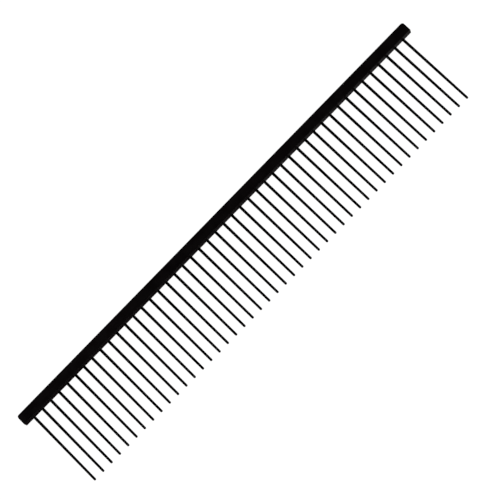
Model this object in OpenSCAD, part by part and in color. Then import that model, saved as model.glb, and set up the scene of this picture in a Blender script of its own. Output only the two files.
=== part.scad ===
// Straight grooming comb: a solid square spine bar with one row of long tapered pins pressed into it.
// X runs along the spine, the teeth point along -Y, and Z runs up through the comb's thickness.
// The origin is at the middle of the spine's lower side, the face that the comb lies on.

/* [Spine] */
// Length of the spine bar
spine_length = 254; // [200:1:300]
// Size of the bar in the direction of the teeth
spine_depth = 5.2; // [4:0.1:8]
// Size of the bar through the comb's thickness
spine_thickness = 5.2; // [3:0.1:8]
// Rounding of the bar's long edges and of the edges of its ends
edge_r = 0.25; // [0.1:0.05:0.8]
// Rounding of the bar's two back corners, seen from above
back_corner_r = 1.2; // [0.8:0.1:2]
// Metal left between the point of each drilled hole and the bar's back
back_wall = 1.1; // [0.5:0.1:2]

/* [Teeth] */
// Number of teeth in the row
tooth_count = 46; // [30:1:56]
// Distance from each end of the bar to the axis of the nearest tooth
end_margin = 5.4; // [3:0.1:10]
// Length of a tooth outside the bar, tip included
tooth_reach = 41.7; // [25:0.1:60]
// Diameter of a tooth's shank, and of the tooth where it leaves the bar
root_d = 1.4; // [1.2:0.05:2]
// Diameter of a tooth where its rounded tip starts
tip_d = 1.2; // [0.6:0.05:1.4]
// Lead-in chamfer on the pressed end of a shank
shank_chamfer = 0.2; // [0.05:0.05:0.4]
// Room round a shank in its drilled hole
shank_clearance = 0.01; // [0:0.005:0.05]

/* [Hidden] */
$fn = 48;
coat_black = [0.03, 0.028, 0.028];

// Full angle of the drill that leaves the cone at the bottom of each hole
drill_angle = 118;
// Length by which a cutting shape runs past the face that it cuts
overrun = 1;

tooth_pitch = (spine_length - 2 * end_margin) / (tooth_count - 1);
tip_r = tip_d / 2;
shank_r = root_d / 2;
hole_r = shank_r + shank_clearance;
drill_point_h = hole_r / tan(drill_angle / 2);
shank_depth = spine_depth - back_wall - drill_point_h;

function tooth_name(i) = str("tooth_", i < 10 ? "0" : "", i);
function tooth_x(i) = (i - 1) * tooth_pitch - spine_length / 2 + end_margin;

// Rectangle with four round corners, centred
module rounded_rectangle(width, height, r) {
    square([width - 2 * r, height], center = true);
    square([width, height - 2 * r], center = true);
    for (x = [-1, 1], y = [-1, 1])
        translate([x * (width / 2 - r), y * (height / 2 - r)])
            circle(r);
}

// The spine seen from above: square corners towards the teeth, round ones at the back
module spine_plan() {
    arc_y = spine_depth / 2 - back_corner_r;
    translate([-spine_length / 2, -spine_depth / 2])
        square([spine_length, spine_depth - back_corner_r]);
    translate([back_corner_r - spine_length / 2, -spine_depth / 2])
        square([spine_length - 2 * back_corner_r, spine_depth]);
    for (side = [-1, 1])
        translate([side * (spine_length / 2 - back_corner_r), arc_y])
            circle(back_corner_r);
}

// The bar before drilling: what its section, its plan and its side view have in common
module spine_blank() {
    intersection() {
        translate([0, 0, spine_thickness / 2])
            rotate([90, 0, 90])
                linear_extrude(spine_length + 2 * overrun, center = true)
                    rounded_rectangle(spine_depth, spine_thickness, edge_r);
        translate([0, 0, -overrun])
            linear_extrude(spine_thickness + 2 * overrun)
                spine_plan();
        translate([0, 0, spine_thickness / 2])
            rotate([90, 0, 0])
                linear_extrude(spine_depth + 2 * overrun, center = true)
                    rounded_rectangle(spine_length, spine_thickness, edge_r);
    }
}

// Puts a child on a tooth's axis at the bar's face, with +Z along the tooth towards its tip
module at_tooth(i) {
    translate([tooth_x(i), -spine_depth / 2, spine_thickness / 2])
        rotate([90, 0, 0])
            children();
}

// Blind hole for one shank, with the cone that the drill leaves
module shank_hole() {
    translate([0, 0, -shank_depth])
        cylinder(r = hole_r, h = shank_depth + overrun);
    translate([0, 0, -shank_depth - drill_point_h])
        cylinder(r1 = 0, r2 = hole_r, h = drill_point_h);
}

module spine() {
    color(coat_black)
        difference() {
            spine_blank();
            for (i = [1:tooth_count])
                at_tooth(i)
                    shank_hole();
        }
}

// Half of a tooth's section: chamfered straight shank, long taper and round tip
module tooth_profile() {
    taper_end = tooth_reach - tip_r;
    polygon([
        [0, -shank_depth],
        [shank_r - shank_chamfer, -shank_depth],
        [shank_r, shank_chamfer - shank_depth],
        [shank_r, 0],
        [tip_r, taper_end],
        [0, taper_end]
    ]);
    intersection() {
        translate([0, taper_end])
            circle(tip_r);
        translate([0, taper_end])
            square(tip_r + overrun);
    }
}

module tooth(i) {
    color(coat_black)
        at_tooth(i)
            rotate_extrude()
                tooth_profile();
}

spine();
for (i = [1:tooth_count])
    tooth(i);
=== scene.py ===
"""Dresses a straight grooming comb: a coated square spine bar, a row of coated pins and a white studio."""

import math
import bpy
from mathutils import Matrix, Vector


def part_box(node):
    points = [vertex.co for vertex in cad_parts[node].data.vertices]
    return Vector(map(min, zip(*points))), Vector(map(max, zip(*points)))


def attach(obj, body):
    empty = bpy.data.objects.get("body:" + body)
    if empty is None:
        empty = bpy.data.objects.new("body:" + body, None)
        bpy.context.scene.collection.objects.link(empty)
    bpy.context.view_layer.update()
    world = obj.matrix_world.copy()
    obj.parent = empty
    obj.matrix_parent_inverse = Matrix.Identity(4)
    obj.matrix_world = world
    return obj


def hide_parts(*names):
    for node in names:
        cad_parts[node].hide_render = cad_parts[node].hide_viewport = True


bl_info = {
    "name": "Grooming Comb",
    "version": (1, 0, 0),
    "blender": (4, 5, 0),
    "location": "View3D > Sidebar > Comb",
    "description": "Makes the coated spine and teeth of a grooming comb, with its studio",
    "category": "Object",
}

import bmesh
import bpy
from mathutils import Matrix, Vector

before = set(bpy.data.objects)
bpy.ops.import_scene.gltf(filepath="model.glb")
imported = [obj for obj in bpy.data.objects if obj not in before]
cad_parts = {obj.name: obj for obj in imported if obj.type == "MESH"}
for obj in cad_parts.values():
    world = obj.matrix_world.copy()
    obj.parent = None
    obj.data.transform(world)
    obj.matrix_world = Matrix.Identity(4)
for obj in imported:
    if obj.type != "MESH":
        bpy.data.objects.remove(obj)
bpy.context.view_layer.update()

# One millimetre in metres, which every length in Blender is in
MM = 0.001
BODY = "root"
SPINE_NODE = "spine"
TOOTH_NODES = sorted(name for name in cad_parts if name.startswith("tooth_"))
SPINE_LOW, SPINE_HIGH = (Vector(corner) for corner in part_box(SPINE_NODE))
TOOTH_LOW, TOOTH_HIGH = (Vector(corner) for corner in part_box(TOOTH_NODES[0]))
SPINE_THICKNESS = SPINE_HIGH.z - SPINE_LOW.z
SHANK_RADIUS = (TOOTH_HIGH.x - TOOTH_LOW.x) / 2
SHANK_DEPTH = TOOTH_HIGH.y - SPINE_LOW.y
TOOTH_REACH = SPINE_LOW.y - TOOTH_LOW.y
TOOTH_AXIS_Z = (TOOTH_LOW.z + TOOTH_HIGH.z) / 2

# Mesh resolution
FILLET_STEPS = 5
CORNER_STEPS = 8
CELL_STEPS = 8
ROUND_STEPS = 4 * CELL_STEPS
COLLAR_STEPS = 5
TAPER_RINGS = 14
TIP_STEPS = 7

# Rows of the bar's mesh between which its tooth side is flat
FIRST_SIDE = FILLET_STEPS + 1
LAST_SIDE = FIRST_SIDE + CELL_STEPS
# Direction from a tooth's axis to the corner of its cell where the cell's border starts
CELL_START = math.radians(225)
# Width of the flat band that steadies the shading beside a rounded edge, as a share of the edge's radius
SUPPORT_SHARE = 0.75
# Vertices that are closer than this are merged
MERGE_DISTANCE = 0.0002 * MM

# Vertex layers of the bar: how rubbed its coat is, and where the coat has gathered
WEAR_LAYER = "edge_wear"
POOL_LAYER = "pooled_coat"
# How rubbed the coat is where an edge's rounding ends, and at the bar's upright corners, of 1 at most
FILLET_END_WEAR = 0.25
FRONT_CORNER_WEAR = 1.0
BACK_CORNER_WEAR = 0.5

# Noises of the coat: features a millimetre, octaves of detail and strength of the finer octaves
DRIFT_NOISE = (0.035, 3.0, 0.5)
PEEL_NOISE = (1.3, 2.0, 0.45)
GRAIN_NOISE = (11.0, 2.0, 0.6)
LINE_NOISE = (1.0, 3.0, 0.6)
SMEAR_NOISE = (0.16, 4.0, 0.6)
# Features a millimetre of the drawing lines along X, Y and Z: few along the piece and many across it
SPINE_LINES = (0.04, 3.0, 3.0)
TOOTH_LINES = (5.0, 0.08, 5.0)
# Parts of the noises' range that are spread over a whole change of colour, wear or roughness
DRIFT_SPAN = (0.38, 0.66)
PEEL_SPAN = (0.30, 0.65)
FINISH_SPAN = (0.3, 0.7)
# How much of the rubbing shows, between the bumps of the orange peel and on them
PATCHY_WEAR = (0.35, 1.0)
# Changes of roughness: by wipe marks, by drawing lines, where rubbed and where the coat has gathered
SMEAR_CHANGE = (-0.07, 0.08)
LINE_CHANGE = (-0.035, 0.035)
RUBBED_POLISH = 0.14
GATHERED_POLISH = 0.10
# Depth of the relief that the noises give the coat
LINE_DEPTH = 0.0012 * MM
PEEL_DEPTH = 0.006 * MM
GRAIN_DEPTH = 0.0006 * MM
# Length of a tooth next to the bar on which the coat has gathered
ROOT_COAT_LENGTH = 1.0 * MM

# The room that the coat mirrors changes over spans of a line of sight, which is taken to be 1 long
# How far the line of sight goes to the right, and how far it goes to either side
RIGHT_SPAN = (-0.05, 0.30)
BESIDE_SPAN = (0.30, 0.55)
# How far it goes to the back
BEHIND_SPAN = (0.10, 0.60)
FRONT_SPAN = (-0.30, -0.05)
DIM_SPAN = (-0.75, -0.25)
# How far it goes up
HORIZON = (-0.12, 0.10)
ROOM_FOOT = (-0.60, -0.15)
ROOM_TOP = (0.35, 0.78)

# Softboxes: name, place and height in metres, and the setting that holds the brightness
SOFTBOX_WIDTH = 0.50
SOFTBOXES = (
    ("back_softbox", (-0.32, 0.62, 0.26), 0.22, "back_softbox"),
    ("back_right_softbox", (0.42, 0.70, 0.32), 0.26, "corner_softbox"),
    ("front_left_softbox", (-0.60, -0.54, 0.34), 0.34, "corner_softbox"),
    ("front_right_softbox", (0.60, -0.54, 0.34), 0.34, "corner_softbox"),
    ("front_softbox", (0.0, -0.78, 0.37), 0.24, "front_softbox"),
)

# Studio
WHITE = (1.0, 1.0, 1.0, 1.0)
FLOOR_ROUGHNESS = 0.95
# Gap between the floor and the comb, so that their faces don't meet
FLOOR_GAP = 0.02 * MM
# Width of the camera's sensor, in millimetres
SENSOR_WIDTH = 36.0
# Nearest and furthest distance that the camera sees
CLIP_NEAR = 0.01
CLIP_FAR = 50.0


class CombSpineSettings(bpy.types.PropertyGroup):
    """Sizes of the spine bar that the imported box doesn't give."""

    edge_radius: bpy.props.FloatProperty(
        name="Edge radius",
        description="Rounding of the bar's edges",
        default=0.25 * MM,
        min=0.05 * MM,
        max=1.0 * MM,
        precision=5,
        subtype="DISTANCE",
        unit="LENGTH",
    )
    back_corner_radius: bpy.props.FloatProperty(
        name="Back corner radius",
        description="Rounding of the two back corners, seen from above",
        default=1.2 * MM,
        min=0.5 * MM,
        max=2.0 * MM,
        precision=5,
        subtype="DISTANCE",
        unit="LENGTH",
    )
    front_corner_radius: bpy.props.FloatProperty(
        name="Front corner radius",
        description="Rounding of the two corners on the tooth side, seen from above",
        default=0.1 * MM,
        min=0.02 * MM,
        max=1.0 * MM,
        precision=5,
        subtype="DISTANCE",
        unit="LENGTH",
    )
    hole_clearance: bpy.props.FloatProperty(
        name="Hole clearance",
        description="Room between a shank and the wall of its hole",
        default=0.01 * MM,
        min=0.0,
        max=0.05 * MM,
        precision=5,
        subtype="DISTANCE",
        unit="LENGTH",
    )
    collar_width: bpy.props.FloatProperty(
        name="Collar width",
        description="How far the coat that gathers round a tooth's root runs out over the bar",
        default=0.32 * MM,
        min=0.05 * MM,
        max=0.8 * MM,
        precision=5,
        subtype="DISTANCE",
        unit="LENGTH",
    )
    collar_height: bpy.props.FloatProperty(
        name="Collar height",
        description="How far the coat that gathers round a tooth's root climbs the tooth",
        default=0.28 * MM,
        min=0.05 * MM,
        max=0.8 * MM,
        precision=5,
        subtype="DISTANCE",
        unit="LENGTH",
    )


class CombToothSettings(bpy.types.PropertyGroup):
    """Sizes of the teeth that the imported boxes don't give."""

    tip_diameter: bpy.props.FloatProperty(
        name="Tip diameter",
        description="Diameter of a tooth where its round tip starts",
        default=1.2 * MM,
        min=0.5 * MM,
        max=1.4 * MM,
        precision=5,
        subtype="DISTANCE",
        unit="LENGTH",
    )
    shank_chamfer: bpy.props.FloatProperty(
        name="Shank chamfer",
        description="Lead-in on the pressed end of a shank",
        default=0.2 * MM,
        min=0.05 * MM,
        max=0.4 * MM,
        precision=5,
        subtype="DISTANCE",
        unit="LENGTH",
    )
    tip_wear_length: bpy.props.FloatProperty(
        name="Tip wear length",
        description="Length at the tip over which the coat is burnished by use",
        default=2.5 * MM,
        min=0.1 * MM,
        max=10.0 * MM,
        precision=5,
        subtype="DISTANCE",
        unit="LENGTH",
    )


class CombCoatSettings(bpy.types.PropertyGroup):
    """Colours and gloss of the black coat."""

    spine_black: bpy.props.FloatVectorProperty(
        name="Spine black",
        description="Colour of the coat on the spine",
        default=(0.0050, 0.0018, 0.0026),
        min=0.0,
        max=1.0,
        precision=5,
        size=3,
        subtype="COLOR",
    )
    spine_warm_black: bpy.props.FloatVectorProperty(
        name="Spine warm black",
        description="Colour that the spine's coat drifts to in broad patches",
        default=(0.0068, 0.0024, 0.0036),
        min=0.0,
        max=1.0,
        precision=5,
        size=3,
        subtype="COLOR",
    )
    tooth_black: bpy.props.FloatVectorProperty(
        name="Tooth black",
        description="Colour of the coat on the teeth",
        default=(0.0019, 0.0018, 0.0020),
        min=0.0,
        max=1.0,
        precision=5,
        size=3,
        subtype="COLOR",
    )
    tooth_warm_black: bpy.props.FloatVectorProperty(
        name="Tooth warm black",
        description="Colour that the teeth's coat drifts to in broad patches",
        default=(0.0026, 0.0023, 0.0026),
        min=0.0,
        max=1.0,
        precision=5,
        size=3,
        subtype="COLOR",
    )
    burnished: bpy.props.FloatVectorProperty(
        name="Burnished",
        description="Colour of the coat where edges and tips are rubbed",
        default=(0.010, 0.0085, 0.0088),
        min=0.0,
        max=1.0,
        precision=5,
        size=3,
        subtype="COLOR",
    )
    spine_roughness: bpy.props.FloatProperty(
        name="Spine roughness",
        description="Middle roughness of the coat on the spine",
        default=0.42,
        min=0.05,
        max=1.0,
        subtype="FACTOR",
    )
    tooth_roughness: bpy.props.FloatProperty(
        name="Tooth roughness",
        description="Middle roughness of the coat on the teeth",
        default=0.28,
        min=0.05,
        max=1.0,
        subtype="FACTOR",
    )
    spine_refraction: bpy.props.FloatProperty(
        name="Spine refractive index",
        description="Refractive index of the coat on the spine, which sets how strongly it reflects",
        default=1.39,
        min=1.0,
        max=2.0,
    )
    tooth_refraction: bpy.props.FloatProperty(
        name="Tooth refractive index",
        description="Refractive index of the coat on the teeth, which sets how strongly it reflects",
        default=1.33,
        min=1.0,
        max=2.0,
    )


class CombStudioSettings(bpy.types.PropertyGroup):
    """Camera, floor and light."""

    azimuth: bpy.props.FloatProperty(
        name="Azimuth",
        description="Direction that the camera looks from, 0 being the tooth side",
        default=math.radians(-6.683),
        subtype="ANGLE",
        unit="ROTATION",
    )
    elevation: bpy.props.FloatProperty(
        name="Elevation",
        description="Height of the camera above the horizon",
        default=math.radians(75.945),
        subtype="ANGLE",
        unit="ROTATION",
    )
    roll: bpy.props.FloatProperty(
        name="Roll",
        description="Turn of the camera round its own line of sight",
        default=math.radians(-39.206),
        subtype="ANGLE",
        unit="ROTATION",
    )
    distance: bpy.props.FloatProperty(
        name="Distance",
        description="Distance from the camera to the point that it looks at",
        default=955.92 * MM,
        min=0.1,
        max=5.0,
        subtype="DISTANCE",
        unit="LENGTH",
    )
    aim: bpy.props.FloatVectorProperty(
        name="Aim",
        description="Point that the camera looks at",
        default=(2.388 * MM, -20.663 * MM, 2.5 * MM),
        size=3,
        precision=5,
        subtype="TRANSLATION",
        unit="LENGTH",
    )
    lens: bpy.props.FloatProperty(
        name="Lens",
        description="Focal length on a 36 mm wide sensor, in millimetres",
        default=150.0,
        min=20.0,
        max=300.0,
        unit="CAMERA",
    )
    floor_size: bpy.props.FloatProperty(
        name="Floor size",
        description="Width of the square floor",
        default=8.0,
        min=1.0,
        max=20.0,
        subtype="DISTANCE",
        unit="LENGTH",
    )
    floor_colour: bpy.props.FloatVectorProperty(
        name="Floor colour",
        description="Colour of the floor",
        default=(0.30, 0.30, 0.30),
        min=0.0,
        max=1.0,
        size=3,
        subtype="COLOR",
    )
    floor_light: bpy.props.FloatProperty(
        name="Floor light",
        description="Brightness of the floor's own light",
        default=1.0,
        min=0.0,
        max=5.0,
    )
    wall_light: bpy.props.FloatProperty(
        name="Wall light",
        description="Brightness of the white walls",
        default=1.0,
        min=0.0,
        max=20.0,
    )
    room_light: bpy.props.FloatProperty(
        name="Room light",
        description="Brightness of the dim room that the coat mirrors",
        default=0.12,
        min=0.0,
        max=20.0,
    )
    front_light: bpy.props.FloatProperty(
        name="Front light",
        description="Brightness of the darker side of the room, in front of the teeth",
        default=0.02,
        min=0.0,
        max=20.0,
    )
    ceiling_light: bpy.props.FloatProperty(
        name="Ceiling light",
        description="Brightness of the dark ceiling that the coat mirrors",
        default=0.023,
        min=0.0,
        max=5.0,
    )
    under_light_left: bpy.props.FloatProperty(
        name="Light from below, left",
        description="Brightness that the coat mirrors from below on the left",
        default=0.0,
        min=0.0,
        max=5.0,
    )
    under_light_right: bpy.props.FloatProperty(
        name="Light from below, right",
        description="Brightness that the coat mirrors from below on the right",
        default=0.20,
        min=0.0,
        max=5.0,
    )
    behind_light: bpy.props.FloatProperty(
        name="Light from behind",
        description="Brightness that the coat mirrors from below, behind the comb",
        default=0.55,
        min=0.0,
        max=5.0,
    )
    beside_light: bpy.props.FloatProperty(
        name="Light from beside",
        description="Brightness that the coat mirrors from below, in front of the comb and to either side",
        default=0.40,
        min=0.0,
        max=5.0,
    )
    back_softbox: bpy.props.FloatProperty(
        name="Back softbox",
        description="Brightness of the softbox behind the comb's left half",
        default=3.0,
        min=0.0,
        max=50.0,
    )
    corner_softbox: bpy.props.FloatProperty(
        name="Corner softboxes",
        description="Brightness of the softboxes at the other three corners",
        default=0.9,
        min=0.0,
        max=50.0,
    )
    front_softbox: bpy.props.FloatProperty(
        name="Front softbox",
        description="Brightness of the softbox on the tooth side",
        default=1.0,
        min=0.0,
        max=50.0,
    )


def finished_mesh(name, bm):
    """Cleans a bmesh, gives it smooth faces that look outwards and returns it as a mesh."""
    bmesh.ops.remove_doubles(bm, verts=bm.verts, dist=MERGE_DISTANCE)
    loose = [vert for vert in bm.verts if not vert.link_faces]
    bmesh.ops.delete(bm, geom=loose, context="VERTS")
    bmesh.ops.recalc_face_normals(bm, faces=bm.faces)
    for face in bm.faces:
        face.smooth = True
    mesh = bpy.data.meshes.new(name)
    bm.to_mesh(mesh)
    bm.free()
    return mesh


def place_piece(name, mesh, material, node):
    """Puts a finished mesh in the scene in the place of a CAD node."""
    piece = bpy.data.objects.new(name, mesh)
    piece.data.materials.append(material)
    bpy.context.scene.collection.objects.link(piece)
    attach(piece, BODY)
    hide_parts(node)


def bridge(bm, first, second):
    """Joins two closed rings of as many vertices with quads."""
    count = len(first)
    for i in range(count):
        j = (i + 1) % count
        bm.faces.new((first[i], first[j], second[j], second[i]))


def ring_about(bm, axis_x, radius, y, start=0.0):
    """A closed ring of vertices about a tooth's axis. start is the direction of its first vertex."""
    ring = []
    for i in range(ROUND_STEPS):
        turn = start + i / ROUND_STEPS * math.tau
        x = axis_x + radius * math.cos(turn)
        z = TOOTH_AXIS_Z + radius * math.sin(turn)
        ring.append(bm.verts.new((x, y, z)))
    return ring


def tooth_axes():
    """X places of the teeth's axes, in order."""
    places = []
    for node in TOOTH_NODES:
        low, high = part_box(node)
        places.append((low[0] + high[0]) / 2)
    return places


class Station:
    """A place on the bar's outline seen from above: a point of a straight side, or of a corner's arc.

    On an arc, centre is the middle of its circle and corner holds the two sides that it joins. On a
    straight side, centre is the point itself. angle is the direction outwards.
    """

    def __init__(self, centre, angle, radius=0.0, corner=None, wear=0.0):
        self.centre = centre
        self.angle = angle
        self.radius = radius
        self.corner = corner
        self.wear = wear

    def at(self, inset):
        """Where this place lies on the outline drawn in by that much."""
        left = self.radius - inset
        if self.corner is not None and left < 0.0:
            return self.centre + left * Vector(self.corner)
        return self.centre + left * Vector((math.cos(self.angle), math.sin(self.angle)))


def corner_stations(x_side, y_side, radius, wear):
    """Stations round one corner of the bar, in counter-clockwise order seen from above."""
    x = SPINE_HIGH.x if x_side > 0 else SPINE_LOW.x
    y = SPINE_HIGH.y if y_side > 0 else SPINE_LOW.y
    centre = Vector((x - x_side * radius, y - y_side * radius))
    start = math.atan2(y_side, x_side) - math.pi / 4
    stations = []
    for i in range(CORNER_STEPS + 1):
        share = i / CORNER_STEPS
        angle = start + share * math.pi / 2
        rubbed = wear * math.sin(share * math.pi)
        stations.append(Station(centre, angle, radius, (x_side, y_side), rubbed))
    return stations


def cell_lines():
    """X places that divide the tooth side into cells, one for each tooth and CELL_STEPS steps wide."""
    axes = tooth_axes()
    pitch = (axes[-1] - axes[0]) / (len(axes) - 1)
    steps = len(axes) * CELL_STEPS
    return [axes[0] - pitch / 2 + i * pitch / CELL_STEPS for i in range(steps + 1)]


def spine_outline(sizes):
    """Stations of the tooth side, the right end, the back and the left end, counter-clockwise."""
    lines = cell_lines()
    front = [Station(Vector((x, SPINE_LOW.y)), -math.pi / 2) for x in lines]
    back = [Station(Vector((x, SPINE_HIGH.y)), math.pi / 2) for x in reversed(lines)]
    front_corner = (sizes.front_corner_radius, FRONT_CORNER_WEAR)
    back_corner = (sizes.back_corner_radius, BACK_CORNER_WEAR)
    right = corner_stations(1, -1, *front_corner) + corner_stations(1, 1, *back_corner)
    left = corner_stations(-1, 1, *back_corner) + corner_stations(-1, -1, *front_corner)
    return front, right, back, left


def fillet_rows(radius):
    """(inset, height, wear) of the rows round the bar, from its lower side to its upper side."""
    start = radius + radius * SUPPORT_SHARE
    lower = [(start, 0.0, 0.0)]
    for i in range(FILLET_STEPS + 1):
        turn = i / FILLET_STEPS * math.pi / 2
        wear = FILLET_END_WEAR + (1 - FILLET_END_WEAR) * math.sin(2 * turn)
        lower.append((radius * (1 - math.sin(turn)), radius * (1 - math.cos(turn)), wear))
    side = []
    for i in range(CELL_STEPS - 1):
        share = i / (CELL_STEPS - 2)
        side.append((0.0, start + share * (SPINE_THICKNESS - 2 * start), 0.0))
    upper = [(inset, SPINE_THICKNESS - height, wear) for inset, height, wear in reversed(lower)]
    return lower + side + upper


def spine_grid(bm, outline, edge_radius, edge_wear):
    """Rings of vertices round the bar, from its lower side to its upper side, with the wear of the edges."""
    grid = []
    for inset, height, wear in fillet_rows(edge_radius):
        on_flat = inset > edge_radius
        ring = []
        for station in outline:
            x, y = station.at(inset)
            vert = bm.verts.new((x, y, SPINE_LOW.z + height))
            vert[edge_wear] = 0.0 if on_flat else max(wear, station.wear)
            ring.append(vert)
        grid.append(ring)
    return grid


def skin_sides(bm, grid, front_count):
    """Covers the bar's back, ends and edges, and leaves the tooth side open for the cells."""
    count = len(grid[0])
    for k in range(len(grid) - 1):
        for i in range(count):
            j = (i + 1) % count
            in_cell = FIRST_SIDE <= k < LAST_SIDE and i < j < front_count
            if not in_cell:
                bm.faces.new((grid[k][i], grid[k][j], grid[k + 1][j], grid[k + 1][i]))


def fill_flat(bm, ring, front_count, right_count):
    """Fills the upper or the lower side with quads from front to back, and one face at each end."""
    back_start = front_count + right_count
    back_end = back_start + front_count - 1
    for i in range(front_count - 1):
        j = back_end - i
        bm.faces.new((ring[i], ring[i + 1], ring[j - 1], ring[j]))
    bm.faces.new(ring[back_end:] + ring[:1])
    bm.faces.new(ring[front_count - 1 : back_start + 1])


def cell_border(grid, number):
    """Vertices round one tooth's cell on the tooth side, counter-clockwise seen from the teeth."""
    left = number * CELL_STEPS
    right = left + CELL_STEPS
    border = [grid[FIRST_SIDE][i] for i in range(left, right)]
    border += [grid[k][right] for k in range(FIRST_SIDE, LAST_SIDE)]
    border += [grid[LAST_SIDE][i] for i in range(right, left, -1)]
    border += [grid[k][left] for k in range(LAST_SIDE, FIRST_SIDE, -1)]
    return border


def collar_room(sizes):
    """Greatest width of a collar that stays inside its tooth's cell."""
    lines = cell_lines()
    half_width = (lines[CELL_STEPS] - lines[0]) / 2
    half_height = SPINE_THICKNESS / 2 - sizes.edge_radius
    return min(half_width, half_height) - SHANK_RADIUS - sizes.hole_clearance


def collar_profile(sizes):
    """(radius, height over the tooth side, gathered coat) from a collar's foot to its hole's bottom."""
    hole_radius = SHANK_RADIUS + sizes.hole_clearance
    foot = hole_radius + sizes.collar_width
    profile = []
    for i in range(COLLAR_STEPS + 1):
        turn = i / COLLAR_STEPS * math.pi / 2
        radius = foot - sizes.collar_width * math.sin(turn)
        profile.append((radius, sizes.collar_height * (1 - math.cos(turn)), 1.0))
    profile.append((hole_radius, 0.0, 1.0))
    profile.append((hole_radius, -SHANK_DEPTH, 0.0))
    return profile


def drill_hole(bm, border, axis_x, profile, pooled):
    """Leads from the border of a tooth's cell over its collar to the bottom of its hole."""
    previous = border
    for radius, height, gathered in profile:
        ring = ring_about(bm, axis_x, radius, SPINE_LOW.y - height, CELL_START)
        for vert in ring:
            vert[pooled] = gathered
        bridge(bm, previous, ring)
        previous = ring
    bm.faces.new(previous)


def spine_mesh(sizes):
    """The bar with rounded edges, and a blind hole with a collar of gathered coat for each tooth."""
    bm = bmesh.new()
    edge_wear = bm.verts.layers.float.new(WEAR_LAYER)
    pooled = bm.verts.layers.float.new(POOL_LAYER)
    front, right, back, left = spine_outline(sizes)
    grid = spine_grid(bm, front + right + back + left, sizes.edge_radius, edge_wear)
    skin_sides(bm, grid, len(front))
    for ring in (grid[0], grid[-1]):
        fill_flat(bm, ring, len(front), len(right))
    profile = collar_profile(sizes)
    for number, axis_x in enumerate(tooth_axes()):
        drill_hole(bm, cell_border(grid, number), axis_x, profile, pooled)
    return finished_mesh("spine_bar", bm)


def tooth_profile(sizes):
    """(radius, distance from the bar's face) along a tooth, from its shank's end to its round tip."""
    tip_radius = sizes.tip_diameter / 2
    taper_end = TOOTH_REACH - tip_radius
    profile = [
        (SHANK_RADIUS - sizes.shank_chamfer, -SHANK_DEPTH),
        (SHANK_RADIUS, sizes.shank_chamfer - SHANK_DEPTH),
    ]
    for i in range(TAPER_RINGS + 1):
        share = i / TAPER_RINGS
        radius = SHANK_RADIUS + share * (tip_radius - SHANK_RADIUS)
        profile.append((radius, share * taper_end))
    for i in range(1, TIP_STEPS):
        turn = i / TIP_STEPS * math.pi / 2
        profile.append((tip_radius * math.cos(turn), taper_end + tip_radius * math.sin(turn)))
    return profile


def tooth_mesh(name, axis_x, sizes):
    """One pin: chamfered shank, long taper and round tip, turned about its axis."""
    bm = bmesh.new()
    previous = None
    for radius, along in tooth_profile(sizes):
        ring = ring_about(bm, axis_x, radius, SPINE_LOW.y - along)
        if previous is None:
            bm.faces.new(ring)
        else:
            bridge(bm, previous, ring)
        previous = ring
    apex = bm.verts.new((axis_x, SPINE_LOW.y - TOOTH_REACH, TOOTH_AXIS_Z))
    for i in range(ROUND_STEPS):
        bm.faces.new((previous[i], previous[(i + 1) % ROUND_STEPS], apex))
    return finished_mesh(name, bm)


def add_node(tree, kind, inputs=(), **settings):
    """Adds a shader node. inputs holds (socket name or number, number, colour or output socket) pairs."""
    made = tree.nodes.new(kind)
    for name, value in settings.items():
        setattr(made, name, value)
    for socket, value in inputs:
        if isinstance(value, bpy.types.NodeSocket):
            tree.links.new(value, made.inputs[socket])
        else:
            made.inputs[socket].default_value = value
    return made


def noise(tree, place, scale, detail, roughness):
    """Noise of that many features a unit of its coordinates, as a socket."""
    made = add_node(
        tree,
        "ShaderNodeTexNoise",
        (("Vector", place), ("Scale", scale), ("Detail", detail), ("Roughness", roughness)),
    )
    return made.outputs[0]


def remap(tree, value, low, high, new_low, new_high):
    """A value carried smoothly from one range to another, as a socket."""
    made = add_node(
        tree,
        "ShaderNodeMapRange",
        ((0, value), (1, low), (2, high), (3, new_low), (4, new_high)),
        interpolation_type="SMOOTHSTEP",
    )
    return made.outputs[0]


def calculate(tree, operation, *values):
    """What a math operation makes of one value or two, as a socket."""
    made = add_node(tree, "ShaderNodeMath", enumerate(values), operation=operation)
    return made.outputs[0]


def blend_colours(tree, share, first, second):
    """A colour between two, as a socket. Each is an RGB colour or a socket."""
    ends = []
    for colour in (first, second):
        is_socket = isinstance(colour, bpy.types.NodeSocket)
        ends.append(colour if is_socket else (*colour, 1.0))
    made = add_node(
        tree, "ShaderNodeMix", ((0, share), (6, ends[0]), (7, ends[1])), data_type="RGBA"
    )
    return made.outputs[2]


def stretched(tree, place, scale):
    """Coordinates scaled by their own factor along each axis, as a socket."""
    made = add_node(tree, "ShaderNodeMapping", ((0, place), (3, scale)))
    return made.outputs[0]


def relief(tree, height, depth, *below):
    """Relief of that depth, on top of the one below it if there is one, as a socket."""
    inputs = [("Strength", 1.0), ("Distance", depth), ("Height", height)]
    inputs += [("Normal", surface) for surface in below]
    return add_node(tree, "ShaderNodeBump", inputs).outputs[0]


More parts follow.
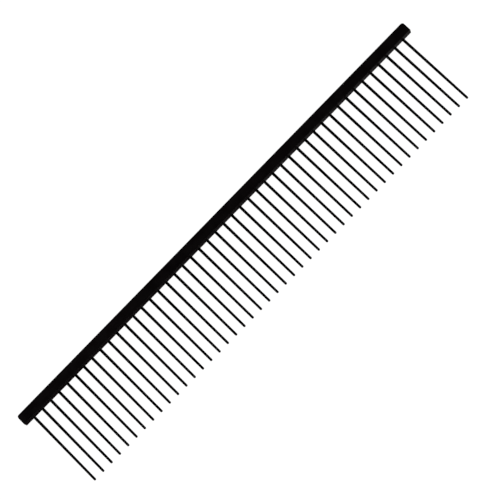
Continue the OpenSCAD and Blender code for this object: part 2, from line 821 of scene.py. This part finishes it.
def coat_material(name, blacks, burnished, roughness, refraction, line_stretch, worn):
    """Satin black coat: drifting black, drawing lines, orange peel, grain, wipe marks and rubbed places.

    blacks holds the two colours that the coat drifts between. worn is a function that takes the node
    tree and the coordinates in millimetres and returns a socket that is 1 where the coat is rubbed,
    and a second one that is 1 where the coat has gathered.
    """
    material = bpy.data.materials.new(name)
    material.use_nodes = True
    tree = material.node_tree
    tree.nodes.clear()
    texture = add_node(tree, "ShaderNodeTexCoord")
    place = stretched(tree, texture.outputs["Object"], (1 / MM, 1 / MM, 1 / MM))

    drift = noise(tree, place, *DRIFT_NOISE)
    peel = noise(tree, place, *PEEL_NOISE)
    grain = noise(tree, place, *GRAIN_NOISE)
    lines = noise(tree, stretched(tree, place, line_stretch), *LINE_NOISE)
    smear = noise(tree, place, *SMEAR_NOISE)
    rubbed, gathered = worn(tree, place)
    rubbed = calculate(tree, "MULTIPLY", rubbed, remap(tree, peel, *PEEL_SPAN, *PATCHY_WEAR))

    warmth = remap(tree, drift, *DRIFT_SPAN, 0.0, 1.0)
    colour = blend_colours(tree, warmth, *blacks)
    colour = blend_colours(tree, rubbed, colour, burnished)

    wiped = [roughness + change for change in SMEAR_CHANGE]
    finish = remap(tree, smear, *FINISH_SPAN, *wiped)
    finish = calculate(tree, "ADD", finish, remap(tree, lines, *FINISH_SPAN, *LINE_CHANGE))
    finish = calculate(tree, "SUBTRACT", finish, calculate(tree, "MULTIPLY", rubbed, RUBBED_POLISH))
    finish = calculate(tree, "SUBTRACT", finish, calculate(tree, "MULTIPLY", gathered, GATHERED_POLISH))

    surface = relief(tree, lines, LINE_DEPTH)
    surface = relief(tree, peel, PEEL_DEPTH, surface)
    surface = relief(tree, grain, GRAIN_DEPTH, surface)
    shader = add_node(
        tree,
        "ShaderNodeBsdfPrincipled",
        (("Base Color", colour), ("Roughness", finish), ("IOR", refraction), ("Normal", surface)),
    )
    add_node(tree, "ShaderNodeOutputMaterial", (("Surface", shader.outputs[0]),))
    return material


def spine_wear(tree, place):
    """Rubbed edges and gathered coat of the spine, from its mesh. The place isn't needed here."""
    edges = add_node(tree, "ShaderNodeAttribute", attribute_name=WEAR_LAYER)
    pool = add_node(tree, "ShaderNodeAttribute", attribute_name=POOL_LAYER)
    return edges.outputs["Fac"], pool.outputs["Fac"]


def tooth_wear(wear_length):
    """A function that gives the rubbed tips of the teeth, and the coat gathered at their roots."""

    def worn(tree, place):
        along = add_node(tree, "ShaderNodeSeparateXYZ", ((0, place),)).outputs["Y"]
        tip = TOOTH_LOW.y / MM
        root = SPINE_LOW.y / MM
        rubbed = remap(tree, along, tip, tip + wear_length / MM, 1.0, 0.0)
        gathered = remap(tree, along, root - ROOT_COAT_LENGTH / MM, root, 0.0, 1.0)
        return rubbed, gathered

    return worn


def floor_material(studio):
    """Pale matt panel that glows white, so that hardly any shadow shows on it."""
    material = bpy.data.materials.new("light_panel")
    material.use_nodes = True
    shader = material.node_tree.nodes["Principled BSDF"]
    shader.inputs["Base Color"].default_value = (*studio.floor_colour, 1.0)
    shader.inputs["Roughness"].default_value = FLOOR_ROUGHNESS
    shader.inputs["Specular IOR Level"].default_value = 0.0
    shader.inputs["Emission Color"].default_value = WHITE
    shader.inputs["Emission Strength"].default_value = studio.floor_light
    return material


def make_floor(studio):
    """A flat square floor under the comb. The coat doesn't mirror it, but the room of make_walls."""
    half = studio.floor_size / 2
    level = SPINE_LOW.z - FLOOR_GAP
    mesh = bpy.data.meshes.new("floor")
    corners = [(-half, -half, level), (half, -half, level), (half, half, level), (-half, half, level)]
    mesh.from_pydata(corners, [], [(0, 1, 2, 3)])
    mesh.materials.append(floor_material(studio))
    floor = bpy.data.objects.new("floor", mesh)
    bpy.context.scene.collection.objects.link(floor)
    floor.visible_glossy = False


def room_brightness(tree, studio):
    """Brightness of the room that the coat mirrors along a line of sight, as a socket."""
    texture = add_node(tree, "ShaderNodeTexCoord")
    sight = add_node(tree, "ShaderNodeSeparateXYZ", ((0, texture.outputs["Generated"]),)).outputs
    # Below, it is paler to the right, behind the comb and, in front of it, to either side
    under = remap(tree, sight["X"], *RIGHT_SPAN, studio.under_light_left, studio.under_light_right)
    under = remap(tree, sight["Y"], *BEHIND_SPAN, under, studio.behind_light)
    aside = calculate(tree, "ABSOLUTE", sight["X"])
    beside = remap(tree, aside, *BESIDE_SPAN, under, studio.beside_light)
    under = remap(tree, sight["Y"], *FRONT_SPAN, beside, under)
    # Above the horizon, it is darker in front of the teeth
    front = remap(tree, sight["Y"], *DIM_SPAN, studio.front_light, studio.room_light)
    room = remap(tree, sight["Z"], *HORIZON, studio.room_light, front)
    # What lies below, the walls and the ceiling run into each other
    room = remap(tree, sight["Z"], *ROOM_FOOT, under, room)
    return remap(tree, sight["Z"], *ROOM_TOP, room, studio.ceiling_light)


def make_walls(studio):
    """White walls to the eye, and a dim room with a dark ceiling for the coat to mirror."""
    world = bpy.data.worlds.new("studio_walls")
    bpy.context.scene.world = world
    world.use_nodes = True
    tree = world.node_tree
    tree.nodes.clear()
    room = room_brightness(tree, studio)
    mirrored = add_node(tree, "ShaderNodeBackground", (("Color", WHITE), ("Strength", room)))
    seen = add_node(tree, "ShaderNodeBackground", (("Color", WHITE), ("Strength", studio.wall_light)))
    path = add_node(tree, "ShaderNodeLightPath")
    walls = add_node(
        tree,
        "ShaderNodeMixShader",
        ((0, path.outputs["Is Camera Ray"]), (1, mirrored.outputs[0]), (2, seen.outputs[0])),
    )
    add_node(tree, "ShaderNodeOutputWorld", (("Surface", walls.outputs[0]),))


def make_softbox(name, place, height, brightness):
    """A soft rectangular light that faces the comb, with the power that makes its panel so bright."""
    data = bpy.data.lights.new(name, "AREA")
    data.shape = "RECTANGLE"
    data.size = SOFTBOX_WIDTH
    data.size_y = height
    data.energy = brightness * math.pi * SOFTBOX_WIDTH * height
    softbox = bpy.data.objects.new(name, data)
    turn = Vector(place).to_track_quat("Z", "Y").to_matrix().to_4x4()
    softbox.matrix_world = Matrix.Translation(place) @ turn
    bpy.context.scene.collection.objects.link(softbox)


def make_camera(studio):
    """The camera at the photograph's viewing angle."""
    level = math.cos(studio.elevation)
    back = Vector(
        (
            math.sin(studio.azimuth) * level,
            -math.cos(studio.azimuth) * level,
            math.sin(studio.elevation),
        )
    )
    data = bpy.data.cameras.new("camera")
    data.lens = studio.lens
    data.sensor_width = SENSOR_WIDTH
    data.clip_start = CLIP_NEAR
    data.clip_end = CLIP_FAR
    camera = bpy.data.objects.new("camera", data)
    turn = back.to_track_quat("Z", "Y").to_matrix().to_4x4() @ Matrix.Rotation(studio.roll, 4, "Z")
    camera.matrix_world = Matrix.Translation(Vector(studio.aim) + studio.distance * back) @ turn
    bpy.context.scene.collection.objects.link(camera)
    bpy.context.scene.camera = camera


class COMB_OT_spine(bpy.types.Operator):
    """Makes the coated spine bar in the place of its CAD node"""

    bl_idname = "comb.make_spine"
    bl_label = "Make spine"

    def execute(self, context):
        coat = context.scene.comb_coat
        sizes = context.scene.comb_spine
        if sizes.collar_width > collar_room(sizes):
            raise RuntimeError("The collars round the teeth are too wide for the bar's tooth side")
        material = coat_material(
            "spine_coat_black",
            (coat.spine_black, coat.spine_warm_black),
            coat.burnished,
            coat.spine_roughness,
            coat.spine_refraction,
            SPINE_LINES,
            spine_wear,
        )
        place_piece("spine_bar", spine_mesh(sizes), material, SPINE_NODE)
        return {"FINISHED"}


class COMB_OT_teeth(bpy.types.Operator):
    """Makes the row of coated pins in the place of their CAD nodes"""

    bl_idname = "comb.make_teeth"
    bl_label = "Make teeth"

    def execute(self, context):
        coat = context.scene.comb_coat
        sizes = context.scene.comb_teeth
        if sizes.shank_chamfer >= SHANK_RADIUS:
            raise RuntimeError("The chamfer is too large for the shanks of the teeth")
        material = coat_material(
            "tooth_coat_black",
            (coat.tooth_black, coat.tooth_warm_black),
            coat.burnished,
            coat.tooth_roughness,
            coat.tooth_refraction,
            TOOTH_LINES,
            tooth_wear(sizes.tip_wear_length),
        )
        for node, axis_x in zip(TOOTH_NODES, tooth_axes()):
            name = node.replace("tooth", "tooth_pin")
            place_piece(name, tooth_mesh(name, axis_x, sizes), material, node)
        return {"FINISHED"}


class COMB_OT_studio(bpy.types.Operator):
    """Makes the floor, the light and the camera"""

    bl_idname = "comb.make_studio"
    bl_label = "Make studio"

    def execute(self, context):
        studio = context.scene.comb_studio
        make_floor(studio)
        make_walls(studio)
        for name, place, height, setting in SOFTBOXES:
            make_softbox(name, place, height, getattr(studio, setting))
        make_camera(studio)
        context.scene.view_settings.view_transform = "Standard"
        return {"FINISHED"}


class COMB_PT_panel(bpy.types.Panel):
    """Sidebar panel with the comb's sizes, colours and steps"""

    bl_idname = "COMB_PT_panel"
    bl_label = "Grooming Comb"
    bl_space_type = "VIEW_3D"
    bl_region_type = "UI"
    bl_category = "Comb"

    def draw(self, context):
        scene = context.scene
        steps = (
            (scene.comb_spine, COMB_OT_spine.bl_idname),
            (scene.comb_teeth, COMB_OT_teeth.bl_idname),
            (scene.comb_coat, None),
            (scene.comb_studio, COMB_OT_studio.bl_idname),
        )
        for settings, operator in steps:
            box = self.layout.box()
            for name in settings.__annotations__:
                box.prop(settings, name)
            if operator:
                box.operator(operator)


CLASSES = (
    CombSpineSettings,
    CombToothSettings,
    CombCoatSettings,
    CombStudioSettings,
    COMB_OT_spine,
    COMB_OT_teeth,
    COMB_OT_studio,
    COMB_PT_panel,
)
SETTINGS = {
    "comb_spine": CombSpineSettings,
    "comb_teeth": CombToothSettings,
    "comb_coat": CombCoatSettings,
    "comb_studio": CombStudioSettings,
}


def register():
    """Adds the classes and the settings of the comb to Blender."""
    for cls in CLASSES:
        bpy.utils.register_class(cls)
    for name, group in SETTINGS.items():
        setattr(bpy.types.Scene, name, bpy.props.PointerProperty(type=group))


def unregister():
    """Takes the settings and the classes of the comb out of Blender."""
    for name in SETTINGS:
        delattr(bpy.types.Scene, name)
    for cls in reversed(CLASSES):
        bpy.utils.unregister_class(cls)


def main():
    """Makes every piece and the studio."""
    register()
    bpy.ops.comb.make_studio()
    bpy.ops.comb.make_spine()
    bpy.ops.comb.make_teeth()


if __name__ == "__main__":
    main()
